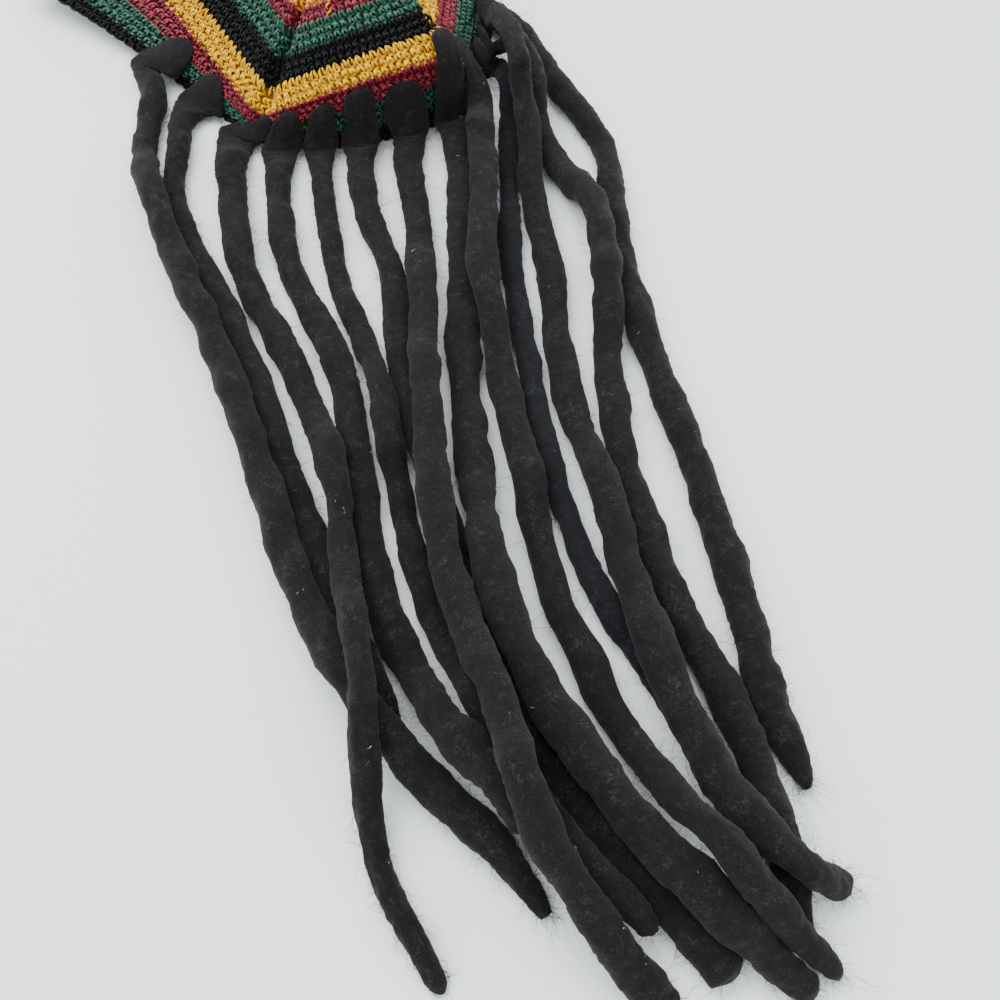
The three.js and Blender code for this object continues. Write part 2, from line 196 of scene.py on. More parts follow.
def crownPoint(place, depth, height):
    # the smooth crown moved out along its own normal by the fold and by a height above the fabric
    place, depth, height = np.broadcast_arrays(place, np.clip(depth, 0.0, 1.0), height)
    out, down, around = crownFrame(place, depth)
    over = (foldHeight(place, depth) + height)[..., None]
    return smoothCrown(place, depth) + out * over + crownShift


# The pleat draws the rounds of the panel to its right up under its lip: rounds drawn, the sides over
# which that starts and ends, and the rounds between which it fades
pleatPull = {
    "rounds": 3.3,
    "start": (7.0, 7.05),
    "end": (7.85, 8.1),
    "inner": (4.0, 15.0),
    "outer": (24.0, 28.0),
    "turnAt": 6.5,
}


def drawnDepth(place, depth):
    # depth less the rounds drawn, full in the middle of the panel and none at its ends, top and rim
    along = np.mod(place - pleatPull["turnAt"], 6) + pleatPull["turnAt"]
    worked = depth * crownShape["rounds"]
    across = smoothStep(*pleatPull["start"], along) * (1 - smoothStep(*pleatPull["end"], along))
    down = smoothStep(*pleatPull["inner"], worked) * (1 - smoothStep(*pleatPull["outer"], worked))
    return depth - pleatPull["rounds"] / crownShape["rounds"] * across * down


# The crown's own box, worked out from the formula at the places where its solid has corners, tells
# where the frame put it
crownSolid = {"columnsPerSide": 11, "roundStep": 2}
crownShift = np.zeros(3)
frameLow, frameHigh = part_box("crown")
solidPlaces = np.arange(6 * crownSolid["columnsPerSide"]) / crownSolid["columnsPerSide"]
solidRounds = np.arange(crownSolid["roundStep"], crownShape["rounds"] - crownShape["rimRounds"] + 1,
                        crownSolid["roundStep"])
formula = crownPoint(*np.meshgrid(solidPlaces, solidRounds / crownShape["rounds"]), 0.0)
crownShift = np.array([
    frameLow.x * 1000 - formula[..., 0].min(),
    frameLow.y * 1000 - formula[..., 1].min(),
    0.0,
])
farSide = frameHigh.x * 1000 - formula[..., 0].max() - crownShift[0]
print("crown placed by", crownShift.round(3), "far side off by", farSide)


# Camera
cameraSetup = {"foot": (83.0, -528.0), "height": 425.0, "elevation": 60.0, "lens": 43.2, "sensor": 36.0}
cameraData = bpy.data.cameras.new("viewCamera")
cameraData.lens = cameraSetup["lens"]
cameraData.sensor_width = cameraSetup["sensor"]
viewCamera = bpy.data.objects.new("viewCamera", cameraData)
bpy.context.scene.collection.objects.link(viewCamera)
viewCamera.location = (
    (cameraSetup["foot"][0] + crownShift[0]) / 1000,
    (cameraSetup["foot"][1] + crownShift[1]) / 1000,
    cameraSetup["height"] / 1000,
)
viewCamera.rotation_euler = (math.radians(90 - cameraSetup["elevation"]), 0, 0)
bpy.context.scene.camera = viewCamera
print("camera set")


def linear(red, green, blue):
    # screen colour 0 to 255 to linear light, with full alpha
    shares = [value / 255 for value in (red, green, blue)]
    return tuple(v / 12.92 if v <= 0.04045 else ((v + 0.055) / 1.055) ** 2.4 for v in shares) + (1.0,)


def newMaterial(name):
    # a material with its nodes, links and main shader
    material = bpy.data.materials.new(name)
    material.use_nodes = True
    nodes = material.node_tree.nodes
    shader = next(node for node in nodes if node.type == "BSDF_PRINCIPLED")
    return material, nodes, material.node_tree.links, shader


def mathNode(nodes, links, operation, *values):
    # one arithmetic step on sockets or numbers
    node = nodes.new("ShaderNodeMath")
    node.operation = operation
    for slot, value in enumerate(values):
        if isinstance(value, (int, float)):
            node.inputs[slot].default_value = value
        else:
            links.new(value, node.inputs[slot])
    return node.outputs[0]


def noiseNode(nodes, links, vector, scale, detail=3.0):
    # soft noise from 0 to 1
    node = nodes.new("ShaderNodeTexNoise")
    node.inputs["Scale"].default_value = scale
    node.inputs["Detail"].default_value = detail
    links.new(vector, node.inputs["Vector"])
    return node.outputs["Fac"]


def rampNode(nodes, links, factor, stops, step=False):
    # stops are (position, colour)
    node = nodes.new("ShaderNodeValToRGB")
    node.color_ramp.interpolation = "CONSTANT" if step else "LINEAR"
    elements = node.color_ramp.elements
    while len(elements) < len(stops):
        elements.new(1.0)
    for element, (position, colour) in zip(elements, stops):
        element.position = position
        element.color = colour
    links.new(factor, node.inputs[0])
    return node.outputs[0]


def scaled(nodes, links, vector, scale):
    # a vector with each part multiplied by its own number
    node = nodes.new("ShaderNodeMapping")
    node.inputs["Scale"].default_value = scale
    links.new(vector, node.inputs["Vector"])
    return node.outputs[0]


def bumpNode(nodes, links, height, strength, distance, shader):
    # small relief, with its depth in millimetres
    node = nodes.new("ShaderNodeBump")
    node.inputs["Strength"].default_value = strength
    node.inputs["Distance"].default_value = distance / 1000
    links.new(height, node.inputs["Height"])
    links.new(node.outputs[0], shader.inputs["Normal"])


# Yarn: plies twist round the strand, which the UV map follows, and the dye varies a little; the twist also paints
# light on the ply crests and shade in the grooves between them
yarnFinish = {
    "plies": 3,
    "plyPitch": 2.8,
    "plyPaintedShade": 0.1,
    "dyeNoise": 420.0,
    "dyeDetail": 2.0,
    "dyeStops": (0.25, 0.5, 0.78),
    "roughness": 0.36,
    "sheen": 0.03,
    "bump": 0.12,
}
# Dark, plain and light colour of each yarn, which the dye's random tone and the painted ply light and shade move
# between, the tint of its sheen, and its gloss
yarnDyesAndPlyShade = {
    "black": ((3, 3, 4), (7, 6, 8), (15, 14, 17), (90, 90, 100), 0.12),
    "green": ((1, 28, 18), (5, 58, 39), (32, 108, 80), (120, 200, 170), 0.45),
    "red": ((60, 2, 12), (108, 8, 28), (152, 34, 56), (230, 140, 160), 0.35),
    "yellow": ((136, 84, 0), (214, 156, 0), (248, 204, 0), (250, 200, 60), 0.2),
    "gold": ((160, 84, 4), (222, 136, 10), (246, 182, 50), (250, 190, 90), 0.2),
}


def yarnMaterial(name, dark, plain, light, sheenTint, gloss):
    # ply = sine of the turns along the strand plus the plies round it
    material, nodes, links, shader = newMaterial(name)
    uv = nodes.new("ShaderNodeUVMap")
    split = nodes.new("ShaderNodeSeparateXYZ")
    links.new(uv.outputs[0], split.inputs[0])
    turns = mathNode(nodes, links, "MULTIPLY", split.outputs[0], 2 * math.pi / yarnFinish["plyPitch"])
    twist = mathNode(nodes, links, "MULTIPLY_ADD", split.outputs[1], 2 * math.pi * yarnFinish["plies"], turns)
    ply = mathNode(nodes, links, "SINE", twist)
    place = nodes.new("ShaderNodeTexCoord").outputs["Object"]
    dye = noiseNode(nodes, links, place, yarnFinish["dyeNoise"], yarnFinish["dyeDetail"])
    # the ply sine in the colour paints shade into the grooves between plies and light onto their crests
    shade = mathNode(nodes, links, "MULTIPLY_ADD", ply, yarnFinish["plyPaintedShade"], dye)
    colour = rampNode(nodes, links, shade, list(zip(yarnFinish["dyeStops"], (dark, plain, light))))
    links.new(colour, shader.inputs["Base Color"])
    shader.inputs["Roughness"].default_value = yarnFinish["roughness"]
    shader.inputs["Specular IOR Level"].default_value = gloss
    shader.inputs["Sheen Weight"].default_value = yarnFinish["sheen"]
    shader.inputs["Sheen Tint"].default_value = sheenTint
    bumpNode(nodes, links, ply, 1.0, yarnFinish["bump"], shader)
    return material


yarns = {
    name: yarnMaterial(name + "Yarn", *(linear(*dye) for dye in dyes), gloss)
    for name, (*dyes, gloss) in yarnDyesAndPlyShade.items()
}
# Colour of each round from the middle out
roundColours = (["green"] * 3 + ["black"] * 3 + ["gold"] * 3 + ["red"] * 2 + ["green"] * 3 + ["black"] * 3
                + ["yellow"] * 3 + ["red"] * 3 + ["green"] * 3 + ["black"] * 2)


# Felt: mottled charcoal wool with streaks along the strand; the shares say how much each noise counts
feltFinish = {
    "mottle": 110.0,
    "grain": 1150.0,
    "streaks": (0.3, 11.0, 1.0),
    "mottleShare": 0.24,
    "grainShare": 0.48,
    "streakShare": 0.28,
    "noiseDetail": 4.0,
    "streakDetail": 5.0,
    "dyeStops": (0.40, 0.5, 0.56, 0.64),
    "roughness": 0.95,
    "gloss": 0.3,
    "sheen": 0.12,
    "sheenTint": (150, 140, 145),
    "bump": 0.7,
    "bumpStrength": 0.8,
    "bumpGrain": 0.5,
}
# Dark, plain, brown and light wool of each felt
feltDyes = {
    "darkFelt": ((2, 1, 2), (8, 6, 7), (21, 15, 16), (44, 38, 39)),
    "blueFelt": ((1, 2, 3), (6, 7, 10), (13, 14, 20), (34, 37, 46)),
}


def feltMaterial(name, dyes):
    # shade = mottle, grain and streaks, each times its share
    material, nodes, links, shader = newMaterial(name)
    place = nodes.new("ShaderNodeTexCoord").outputs["Object"]
    uv = nodes.new("ShaderNodeUVMap").outputs[0]
    clouds = noiseNode(nodes, links, place, feltFinish["mottle"], feltFinish["noiseDetail"])
    grain = noiseNode(nodes, links, place, feltFinish["grain"], feltFinish["noiseDetail"])
    drawn = scaled(nodes, links, uv, feltFinish["streaks"])
    streaks = noiseNode(nodes, links, drawn, 1.0, feltFinish["streakDetail"])
    shade = mathNode(nodes, links, "MULTIPLY", clouds, feltFinish["mottleShare"])
    shade = mathNode(nodes, links, "MULTIPLY_ADD", streaks, feltFinish["streakShare"], shade)
    shade = mathNode(nodes, links, "MULTIPLY_ADD", grain, feltFinish["grainShare"], shade)
    stops = zip(feltFinish["dyeStops"], (linear(*dye) for dye in dyes))
    links.new(rampNode(nodes, links, shade, list(stops)), shader.inputs["Base Color"])
    shader.inputs["Roughness"].default_value = feltFinish["roughness"]
    shader.inputs["Specular IOR Level"].default_value = feltFinish["gloss"]
    shader.inputs["Sheen Weight"].default_value = feltFinish["sheen"]
    shader.inputs["Sheen Tint"].default_value = linear(*feltFinish["sheenTint"])
    height = mathNode(nodes, links, "MULTIPLY_ADD", grain, feltFinish["bumpGrain"], streaks)
    bumpNode(nodes, links, height, feltFinish["bumpStrength"], feltFinish["bump"], shader)
    return material


felts = {name: feltMaterial(name, dyes) for name, dyes in feltDyes.items()}


# Nothing lies lower than this over the table, in millimetres
lowestPoint = 0.03


def meshFrom(name, points, faces, faceUvs, material):
    # points in millimetres; faces and faceUvs are lists of arrays with three or four corners a row
    points = np.maximum(points, (-np.inf, -np.inf, lowestPoint))
    mesh = bpy.data.meshes.new(name)
    mesh.vertices.add(len(points))
    mesh.vertices.foreach_set("co", (points / 1000).astype(np.float32).ravel())
    corners = np.concatenate([rows.ravel() for rows in faces]).astype(np.int32)
    sizes = np.concatenate([np.full(len(rows), rows.shape[1]) for rows in faces])
    mesh.loops.add(len(corners))
    mesh.loops.foreach_set("vertex_index", corners)
    mesh.polygons.add(len(sizes))
    mesh.polygons.foreach_set("loop_start", (np.cumsum(sizes) - sizes).astype(np.int32))
    mesh.update(calc_edges=True)
    layer = mesh.uv_layers.new(name="UVMap")
    layer.data.foreach_set("uv", np.concatenate([rows.reshape(-1) for rows in faceUvs]).astype(np.float32))
    mesh.polygons.foreach_set("use_smooth", np.ones(len(sizes), dtype=bool))
    mesh.validate()
    mesh.materials.append(material)
    piece = bpy.data.objects.new(name, mesh)
    bpy.context.scene.collection.objects.link(piece)
    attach(piece, "root")
    return piece


def tubeFaces(rings, sides):
    # ring and side of each quad of a tube, its quads, and the triangles from the poles at its two ends,
    # which come after the rings
    ring, side = np.meshgrid(np.arange(rings - 1), np.arange(sides), indexing="ij")
    ring, side = ring.ravel(), side.ravel()
    after = (side + 1) % sides
    quads = np.stack([ring * sides + side, ring * sides + after, (ring + 1) * sides + after,
                      (ring + 1) * sides + side], axis=1)
    one = np.arange(sides)
    nextOne = (one + 1) % sides
    last = (rings - 1) * sides
    caps = np.concatenate([
        np.stack([np.full(sides, rings * sides), nextOne, one], axis=1),
        np.stack([np.full(sides, rings * sides + 1), last + one, last + nextOne], axis=1),
    ])
    return ring, side, quads, caps


def tubeMesh(name, centres, lifts, radii, sides, material):
    # Tubes along many paths: ring point = centre + radius (cos a across + sin a lift).
    # centres and lifts are (paths, rings, 3), radii is (paths, rings), and a pole closes each end.
    paths, rings = radii.shape
    ahead = unit(np.gradient(centres, axis=1))
    across = unit(np.cross(ahead, lifts))
    lift = unit(np.cross(across, ahead))
    angle = np.arange(sides) / sides * 2 * np.pi
    spread = radii[..., None, None]
    points = (centres[:, :, None] + across[:, :, None] * np.cos(angle)[:, None] * spread
              + lift[:, :, None] * np.sin(angle)[:, None] * spread)
    tips = np.stack([
        centres[:, 0] - ahead[:, 0] * radii[:, 0, None] * 0.5,
        centres[:, -1] + ahead[:, -1] * radii[:, -1, None] * 0.5,
    ], axis=1)
    block = rings * sides + 2
    allPoints = np.concatenate([points.reshape(paths, -1, 3), tips], axis=1).reshape(-1, 3)
    ring, side, quads, caps = tubeFaces(rings, sides)
    offset = (np.arange(paths) * block)[:, None, None]
    lengths = np.concatenate([
        np.zeros((paths, 1)), np.cumsum(np.linalg.norm(np.diff(centres, axis=1), axis=2), axis=1),
    ], axis=1)
    around = np.stack([side, side + 1, side + 1, side], axis=1) / sides
    along = lengths[:, np.stack([ring, ring, ring + 1, ring + 1], axis=1)]
    quadUvs = np.stack([along, np.broadcast_to(around, along.shape)], axis=-1)
    capAlong = np.where(np.arange(2 * sides)[None, :, None] < sides, 0.0, lengths[:, -1][:, None, None])
    capAlong = np.broadcast_to(capAlong, (paths, 2 * sides, 3))
    capAround = np.broadcast_to((caps % sides / sides)[None], (paths, 2 * sides, 3))
    capUvs = np.stack([capAlong, capAround], axis=-1)
    return meshFrom(
        name, allPoints,
        [(quads[None] + offset).reshape(-1, 4), (caps[None] + offset).reshape(-1, 3)],
        [quadUvs.reshape(-1, 2), capUvs.reshape(-1, 2)], material,
    )


# Crochet stitches. Shares across are of a stitch, shares down of a round, and heights are over the
# fabric; the first stitches of a new colour have open loops instead of tight ones
stitchSizes = {
    "seed": 11,
    "perRound": 8,
    "mostPerRound": 172,
    "roundOffset": 0.21,
    "sides": 6,
    "legRings": 6,
    "legRadius": 0.84,
    "legReach": 0.12,
    "legDrop": 0.66,
    "legFoot": 0.06,
    "legSpread": 0.24,
    "legSink": 1.0,
    "legRise": 1.25,
    "legSlim": 0.72,
    "lean": 0.34,
    "loopReach": 0.40,
    "loopRaise": 0.85,
    "loopLength": 0.3,
    "loopRadius": 0.48,
    "chainRings": 5,
    "chainRadius": 0.78,
    "chainLength": 0.9,
    "chainPlace": 0.16,
    "chainTilt": 0.34,
    "chainSink": 0.85,
    "chainSlim": 0.75,
}
# How far the hand strays: along the round, down a leg or chain, up a leg or chain, and in thickness
stitchStray = {"across": 0.05, "leg": 0.04, "chain": 0.03, "legUp": 0.16, "chainUp": 0.14, "thick": 0.05}


def stitchTable():
    # one row per stitch: place in sides, round, stitches in that round; each round starts a little later
    rows = []
    for roundIndex in range(1, crownShape["rounds"] + 1):
        count = min(stitchSizes["perRound"] * roundIndex, stitchSizes["mostPerRound"])
        offset = 0.5 * (roundIndex % 2) + stitchSizes["roundOffset"] * roundIndex
        places = (np.arange(count) + offset) / count * 6
        rows.append(np.stack([places, np.full(count, roundIndex), np.full(count, 6 / count)], axis=1))
    return np.concatenate(rows)


def strandMesh(name, across, down, height, radius, stitches, sides, material):
    # A strand of each stitch: its path in shares of the stitch across, rounds down and millimetres up,
    # laid on the crown, with the crown's normal as the strand's own up.
    places = stitches[:, 0][:, None] + across * stitches[:, 2][:, None]
    depths = (stitches[:, 1][:, None] + down) / crownShape["rounds"]
    depths = drawnDepth(places, np.clip(depths, 0.012, 0.999))
    centres = crownPoint(places, depths, height)
    lifts = crownFrame(places, depths)[0]
    return tubeMesh(name, centres, lifts, radius, sides, material)


def stitchLeg(chosen, isFirst, sign, random):
    # path and radius of one leg of each stitch: it rises out of the round above, arches, leans and
    # spreads from its twin; an open loop reaches further, stands higher and is thinner at its start
    size, stray, count = stitchSizes, stitchStray, len(chosen)
    share = np.linspace(0, 1, size["legRings"])[None]
    reach = np.where(isFirst, size["loopReach"], size["legReach"])
    down = -1.0 - reach + (size["legDrop"] + reach) * share + random.normal(0, stray["leg"], (count, 1))
    spread = sign * (size["legFoot"] + size["legSpread"] * np.sin(share * np.pi / 2))
    across = spread + size["lean"] * (share - 0.5) + random.normal(0, stray["across"], (count, 1))
    arch = np.sin(np.pi * np.clip(share * 0.9 + 0.08, 0, 1)) ** 0.8
    height = -size["legSink"] + size["legRise"] * arch + random.normal(0, stray["legUp"], (count, 1))
    height = height + np.where(isFirst, size["loopRaise"] * np.exp(-(share / size["loopLength"]) ** 2), 0)
    opening = mix(size["loopRadius"], size["legRadius"], smoothStep(0.0, 0.5, share))
    radius = np.where(isFirst, opening, size["legRadius"])
    radius = radius * (size["legSlim"] + (1 - size["legSlim"]) * np.sin(np.pi * share))
    return across, down, height, radius * (1 + random.normal(0, stray["thick"], (count, 1)))


def stitchChain(chosen, random):
    # path and radius of the bar across the foot of each stitch: tilted, and arched over the fabric
    size, stray, count = stitchSizes, stitchStray, len(chosen)
    share = np.linspace(0, 1, size["chainRings"])[None]
    across = (share - 0.5) * size["chainLength"] + random.normal(0, stray["across"], (count, 1))
    down = -size["chainPlace"] - size["chainTilt"] * (share - 0.5) + random.normal(0, stray["chain"], (count, 1))
    height = -size["chainSink"] + np.sin(np.pi * share) + random.normal(0, stray["chainUp"], (count, 1))
    slim = size["chainSlim"] + (1 - size["chainSlim"]) * np.sin(np.pi * share)
    return across, down, height, size["chainRadius"] * slim * np.ones((count, 1))


def makeStitches():
    random = np.random.default_rng(stitchSizes["seed"])
    table = stitchTable()
    rounds = table[:, 1].astype(int)
    colours = np.array(["none"] + roundColours)[rounds]
    first = colours != np.array(["none", "none"] + roundColours)[rounds]
    for colour, material in yarns.items():
        chosen = table[colours == colour]
        isFirst = first[colours == colour][:, None]
        chosen[:, 0] += random.normal(0, stitchStray["across"], len(chosen)) * chosen[:, 2]
        parts = {
            "left": stitchLeg(chosen, isFirst, -1, random),
            "right": stitchLeg(chosen, isFirst, 1, random),
            "chain": stitchChain(chosen, random),
        }
        for part, (across, down, height, radius) in parts.items():
            piece = strandMesh("crochet_" + colour + "_" + part, across, down, height, radius, chosen,
                               stitchSizes["sides"], material)
            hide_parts("crown", "rim_band")


# Where the rounds start: a short run of gold loops across the red stripe
seamSizes = {
    "place": 6.33,
    "slant": 0.05,
    "first": 9,
    "last": 11,
    "width": 0.04,
    "sink": 0.4,
    "rise": 1.35,
    "length": 1.1,
    "radius": 0.55,
    "slim": 0.7,
}


def makeSeam():
    # each loop runs down one round: place drifts with the round, height is an arch over it
    rounds = np.arange(seamSizes["first"], seamSizes["last"] + 1)
    count = len(rounds)
    places = seamSizes["place"] + seamSizes["slant"] * (rounds - rounds[0]) / count
    rows = np.stack([places, rounds, np.full(count, seamSizes["width"])], axis=1)
    share = np.linspace(0, 1, stitchSizes["legRings"])[None]
    across = 0.5 * np.sin(np.pi * 2 * share) + np.zeros((count, 1))
    down = seamSizes["length"] * (share - 1)
    height = -seamSizes["sink"] + seamSizes["rise"] * np.sin(np.pi * share) + np.zeros((count, 1))
    slim = seamSizes["slim"] + (1 - seamSizes["slim"]) * np.sin(np.pi * share)
    radius = seamSizes["radius"] * slim * np.ones((count, 1))
    seam = strandMesh("crochet_seam", across, down, height, radius, rows, stitchSizes["sides"], yarns["gold"])
    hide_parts("crown", "rim_band")


makeStitches()
makeSeam()
print("stitches worked")


# Fabric behind the stitches, with the stripes in steps along the depth; its colours are darker than the yarn's,
# painted shade in the gaps between stitches and on the inside of the crown
fabricShell = {
    "columns": 264,
    "rings": 84,
    "top": 0.01,
    "foot": 0.998,
    "outer": -0.9,
    "inner": -3.3,
    "purl": 0.35,
    "purlRows": 28,
    "purlsPerSide": 22,
    "purlFade": 0.12,
    "stripeEarly": 0.3,
    "roughness": 0.9,
    "grain": 600.0,
    "bump": 0.4,
    "bumpStrength": 0.7,
}
# each stripe's colour is darkened well below its yarn: painted shade seen through the gaps between stitches
shellColoursWithPaintedShade = {
    "black": (8, 8, 9),
    "green": (3, 32, 22),
    "red": (56, 6, 16),
    "yellow": (112, 66, 6),
    "gold": (118, 68, 16),
}


def shellMaterial():
    # the stripes are steps of a ramp along the UV's second part, which is the depth, in darkened colours that are
    # painted shade
    material, nodes, links, shader = newMaterial("fabricBackingPaintedShade")
    uv = nodes.new("ShaderNodeUVMap")
    split = nodes.new("ShaderNodeSeparateXYZ")
    links.new(uv.outputs[0], split.inputs[0])
    stops = []
    for index, colour in enumerate(roundColours):
        if index == 0 or roundColours[index - 1] != colour:
            start = index - fabricShell["stripeEarly"] * (index > 0)
            stops.append((start / crownShape["rounds"], linear(*shellColoursWithPaintedShade[colour])))
    links.new(rampNode(nodes, links, split.outputs[1], stops, step=True), shader.inputs["Base Color"])
    shader.inputs["Roughness"].default_value = fabricShell["roughness"]
    place = nodes.new("ShaderNodeTexCoord").outputs["Object"]
    grain = noiseNode(nodes, links, place, fabricShell["grain"])
    bumpNode(nodes, links, grain, fabricShell["bumpStrength"], fabricShell["bump"], shader)
    return material


def makeShell():
    # closed wall: outer grid from top to rim, then inner grid back to the top with purls, which are
    # cosine bumps of depth times cosine bumps of place
    columns, rings = fabricShell["columns"], fabricShell["rings"]
    depth = np.linspace(fabricShell["top"], fabricShell["foot"], rings)
    place = np.arange(columns) / columns * 6
    depthGrid, placeGrid = np.meshgrid(depth, place, indexing="ij")
    rows = np.cos(depthGrid * fabricShell["purlRows"] * 2 * np.pi)
    purls = rows * np.cos(placeGrid * fabricShell["purlsPerSide"] * 2 * np.pi) * fabricShell["purl"]
    purls = purls * smoothStep(0.0, fabricShell["purlFade"], depthGrid)
    drawn = drawnDepth(placeGrid, depthGrid)
    outer = crownPoint(placeGrid, drawn, fabricShell["outer"])
    inner = crownPoint(placeGrid, drawn, fabricShell["inner"] + purls)[::-1]
    apex = outer[0].mean(axis=0)
    ceiling = inner[-1].mean(axis=0)
    points = np.concatenate([outer.reshape(-1, 3), inner.reshape(-1, 3), apex[None], ceiling[None]])
    levels = 2 * rings
    level, side, quads, caps = tubeFaces(levels, columns)
    depthOf = np.concatenate([depth, depth[::-1]])
    vPart = depthOf[np.stack([level, level, level + 1, level + 1], axis=1)]
    uPart = np.stack([side, side + 1, side + 1, side], axis=1) / columns
    quadUvs, capUvs = np.stack([uPart, vPart], axis=-1), np.zeros(caps.shape + (2,))
    faces, faceUvs = [quads[:, ::-1], caps[:, ::-1]], [quadUvs[:, ::-1].reshape(-1, 2), capUvs.reshape(-1, 2)]
    shell = meshFrom("crown_fabric", points, faces, faceUvs, shellMaterial())
    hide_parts("crown", "rim_band")


makeShell()
print("fabric closed")


# Felted locks: close rings through those of the solids, lumps and ridges, pinches, and two kinds of end
lockSizes = {
    "rings": 230,
    "sides": 24,
    "ringCount": 30,
    "cadSides": 8,
    "crowding": 0.6,
    "swell": 0.99,
    "lumpSize": 20.0,
    "lumpShare": 0.065,
    "smallSize": 5.0,
    "small": 0.22,
    "ridge": 0.42,
    "ridgeCounts": (1, 2, 3, 5),
    "ridgePitch": 60.0,
    "ridgeFade": (14.0, 30.0),
    "fullRadius": 2.0,
    "pinches": 5,
    "pinchDepth": 0.13,
    "pinchLength": 5.0,
    "pinchPlaces": (0.12, 0.95),
    "pinchShares": (0.3, 1.0),
    "pinchStretch": (0.7, 1.8),
    "tipTaper": 26.0,
    "tipLeast": 0.12,
    "tipPoint": 1.25,
    "bluntEnd": 8.0,
    "bluntLeast": 0.03,
    "floor": 0.05,
}
# Where the random numbers of each sort start
seeds = {"pinch": 900, "felt": 100, "small": 50, "fibres": 500}
# Where each lock is sewn down: place at the rim and at the top of its tongue in sides, the round that
# the top reaches, half the tongue's width near the top and at the rim in millimetres, the round where
# it leaves the fabric, and how far along the lock that is in millimetres, or 0 for the nearest point
lockSeats = {
    "lock_01": (5.59, 5.50, 20.6, 8.0, 14.0, 27.2, 0.0),
    "lock_02": (5.79, 5.72, 20.6, 8.5, 15.0, 27.2, 0.0),
    "lock_03": (5.95, 6.05, 20.2, 10.0, 14.0, 27.2, 0.0),
    "lock_04": (6.11, 6.16, 20.1, 8.0, 11.0, 27.0, 0.0),
    "lock_05": (6.27, 6.33, 20.8, 6.8, 9.5, 27.0, 0.0),
    "lock_06": (6.44, 6.51, 20.3, 7.5, 10.0, 27.0, 0.0),
    "lock_07": (6.65, 6.70, 21.0, 9.0, 11.5, 27.0, 0.0),
    "lock_08": (6.84, 6.98, 16.8, 6.0, 10.0, 27.0, 0.0),
    "lock_09": (7.05, 7.10, 19.6, 8.5, 9.5, 25.0, 44.0),
    "lock_10": (7.22, 7.27, 23.4, 8.0, 11.0, 27.5, 0.0),
    "lock_11": (7.46, 7.60, 23.6, 8.5, 10.5, 26.0, 24.0),
    "lock_12": (7.27, 7.42, 24.0, 9.0, 12.0, 27.5, 0.0),
    "lock_13": (7.62, 7.68, 24.8, 8.5, 11.0, 27.5, 0.0),
}
# The tongues: half their thickness near the top and at the rim, the powers by which width and thickness
# grow, how much of the thickness the centre is lifted, a crease, and the way over which they turn into
# the round lock before and after the rim
tongueFelt = {
    "height": 0.7,
    "upper": 1.6,
    "lower": 4.4,
    "widen": 1.6,
    "thicken": 1.4,
    "topLength": 0.9,
    "topThin": 0.7,
    "liftTop": 0.35,
    "liftRim": 0.7,
    "crease": 0.12,
    "creasePlace": 0.7,
    "creaseLength": 0.07,
    "joinBefore": 16.0,
    "joinAfter": 25.6,
    "footWithin": 90.0,
}
# Locks that run straight over their neighbours from the fabric: millimetres past the rim until they
# meet their own path, and how high they arch on the way
lockBridges = {"lock_09": (32.0, 0.0), "lock_11": (60.0, 17.0)}
bridgeStart = 0.4
# Ends: how blunt from 0 to 1, hairs in the wisp, their length in millimetres and how far they spread
lockEnds = {
    "lock_01": (0.15, 26, 15.0, 0.16),
    "lock_02": (0.60, 6, 5.0, 0.30),
    "lock_03": (0.55, 10, 6.0, 0.25),
    "lock_04": (0.60, 6, 5.0, 0.30),
    "lock_05": (0.50, 12, 7.0, 0.30),
    "lock_06": (0.90, 16, 7.0, 0.40),
    "lock_07": (0.85, 18, 8.0, 0.40),
    "lock_08": (0.45, 22, 11.0, 0.30),
    "lock_09": (0.45, 26, 14.0, 0.25),
    "lock_10": (0.50, 10, 8.0, 0.30),
    "lock_11": (0.75, 60, 14.5, 0.30),
    "lock_12": (0.30, 30, 13.0, 0.25),
    "lock_13": (0.20, 40, 16.0, 0.40),
}
lockNames = sorted(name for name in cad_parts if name.startswith("lock_"))


def nodeRings(name):
    # rings of the node's solid, counted outward from the end pole that lies higher, each as
    # centre, half width vector and half thickness vector
    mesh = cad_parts[name].data
    flat = np.empty(len(mesh.vertices) * 3)
    mesh.vertices.foreach_get("co", flat)
    corners = np.empty(len(mesh.loops), dtype=np.int32)
    mesh.loops.foreach_get("vertex_index", corners)
    found, which = np.unique((flat.reshape(-1, 3) * 1e5).round().astype(np.int64), axis=0, return_inverse=True)
    points = found / 100.0
    triangles = which.ravel()[corners].reshape(-1, 3)
    linked = np.zeros((len(points), len(points)), dtype=bool)
    for start, end in ((0, 1), (1, 2), (2, 0)):
        linked[triangles[:, start], triangles[:, end]] = True
        linked[triangles[:, end], triangles[:, start]] = True
    poles = np.flatnonzero(linked.sum(axis=1) == lockSizes["cadSides"])
    poles = poles[np.argsort(-points[poles, 2])]
    seen = np.zeros(len(points), dtype=bool)
    front = np.zeros(len(points), dtype=bool)
    front[poles[0]] = True
    seen |= front
    levels = []
    while front.any() and len(levels) < lockSizes["ringCount"]:
        front = linked[front].any(axis=0) & ~seen
        seen |= front
        levels.append(points[front])
    centres = np.array([level.mean(axis=0) for level in levels])
    ahead = unit(np.gradient(centres, axis=0))
    wides, thins = [], []
    previous = None
    for level, centre, heading in zip(levels, centres, ahead):
        offsets = level - centre
        if previous is None:
            wide = offsets[np.argmax(np.linalg.norm(offsets, axis=1))]
        else:
            wide = offsets[np.argmax(unit(offsets) @ unit(previous))]
        square = np.cross(heading, unit(wide))
        thin = offsets[np.argmax(unit(offsets) @ square)]
        wides.append(wide)
        thins.append(thin)
        previous = wide
    return centres, np.array(wides), np.array(thins)


